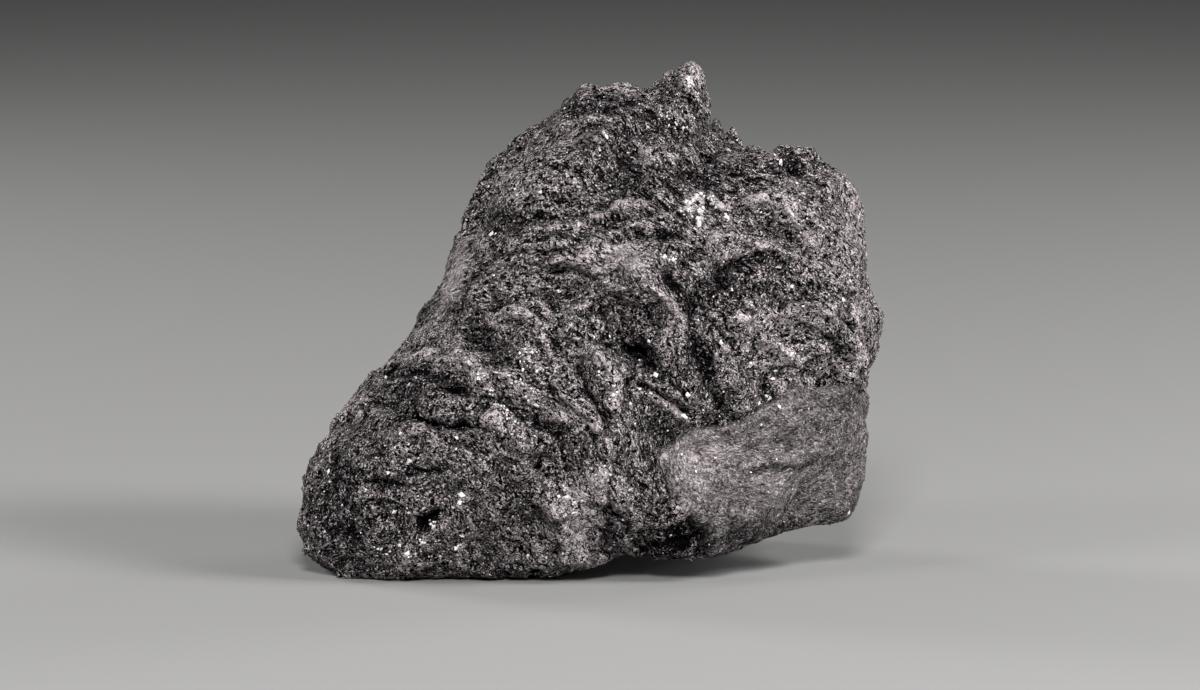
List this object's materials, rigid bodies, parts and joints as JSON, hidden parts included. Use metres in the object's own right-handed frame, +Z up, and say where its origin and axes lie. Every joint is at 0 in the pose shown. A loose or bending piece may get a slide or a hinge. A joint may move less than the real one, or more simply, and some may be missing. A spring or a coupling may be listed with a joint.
{
  "type": "meteorite",
  "caption": "Charcoal-grey stone meteorite fragment with a broken, ledged front, a rounded lobe low on one side and a blunt horn on top, resting on a flattened foot.",
  "frame": {"origin": "middle of the bounding box at the height of the foot, which rests on the surface", "axes": "+X along the longest side, towards the smooth lower face; the broken front looks along -Y; +Z up through the horn"},
  "size_m": [0.0584, 0.0386, 0.0493],
  "materials": {
    "stone": "rough broken dark grey matrix with fine grains",
    "pale_inclusions": "small pale mineral grains with a slight glint"
  },
  "bodies": {
    "root": {"meteorite": "stone"}
  },
  "joints": []
}
